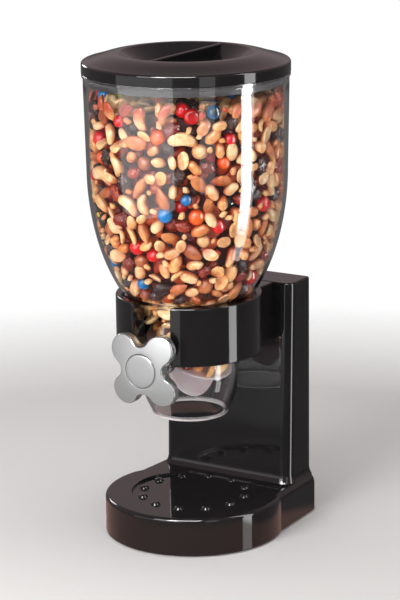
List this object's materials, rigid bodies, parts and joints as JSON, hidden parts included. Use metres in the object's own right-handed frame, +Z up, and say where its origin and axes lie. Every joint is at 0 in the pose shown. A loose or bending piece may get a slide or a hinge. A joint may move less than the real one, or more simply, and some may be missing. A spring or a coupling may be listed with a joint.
{
  "type": "cereal dispenser",
  "caption": "Free-standing dry food dispenser: clear bell hopper in an open collar on a column, with a lift-off lid and a knob that turns a soft paddle wheel above the bowl tray.",
  "frame": {"origin": "on the table plane, midway between the lid's front and the base's back, on the left-right centre plane", "axes": "+Z up, -Y out of the knob towards the user, +X to the user's right"},
  "size_m": [0.1688, 0.1798, 0.404],
  "materials": {
    "black_gloss": "high gloss injection moulded black",
    "black_matte": "fine satin moulded black",
    "clear_plastic": "polished water-clear",
    "silicone": "milky translucent food silicone",
    "white_plastic": "natural white",
    "satin_silver": "satin silver with bright edges",
    "shaft_steel": "drawn bar",
    "screw_steel": "zinc plated",
    "foot_rubber": "soft dark rubber",
    "seal_rubber": "soft dark seal"
  },
  "bodies": {
    "stand": {"base_shell": "black_gloss", "base_bottom_plate": "black_matte", "base_screws": "screw_steel", "rubber_feet": "foot_rubber", "column_shell": "black_gloss", "column_rear_cover": "black_gloss", "column_foot_screws": "screw_steel", "rear_cover_screws": "screw_steel", "collar": "black_gloss", "collar_screws": "screw_steel"},
    "hopper": {"hopper": "clear_plastic", "front_bearing": "black_matte", "shaft_seal": "silicone", "rear_bearing": "black_matte"},
    "lid": {"lid_shell": "black_gloss", "lid_plug": "black_matte", "lid_gasket": "seal_rubber"},
    "paddle_wheel": {"wheel_hub": "white_plastic", "wheel_vanes": "silicone"},
    "knob": {"knob": "satin_silver", "knob_cap": "satin_silver", "knob_screw": "screw_steel", "drive_shaft": "shaft_steel"}
  },
  "joints": [
    {"name": "hopper_lift", "type": "slide", "parent": "stand", "child": "hopper", "axis": [0, 0, 1], "range_m": [0, 0.12]},
    {"name": "lid_lift", "type": "slide", "parent": "hopper", "child": "lid", "axis": [0, 0, 1], "range_m": [0, 0.06]},
    {"name": "wheel_spin", "type": "hinge", "parent": "hopper", "child": "paddle_wheel", "pos_m": [0, -0.0053, 0.156], "axis": [0, -1, 0], "continuous": true},
    {"name": "knob_pull", "type": "slide", "parent": "paddle_wheel", "child": "knob", "axis": [0, -1, 0], "range_m": [0, 0.1]}
  ]
}
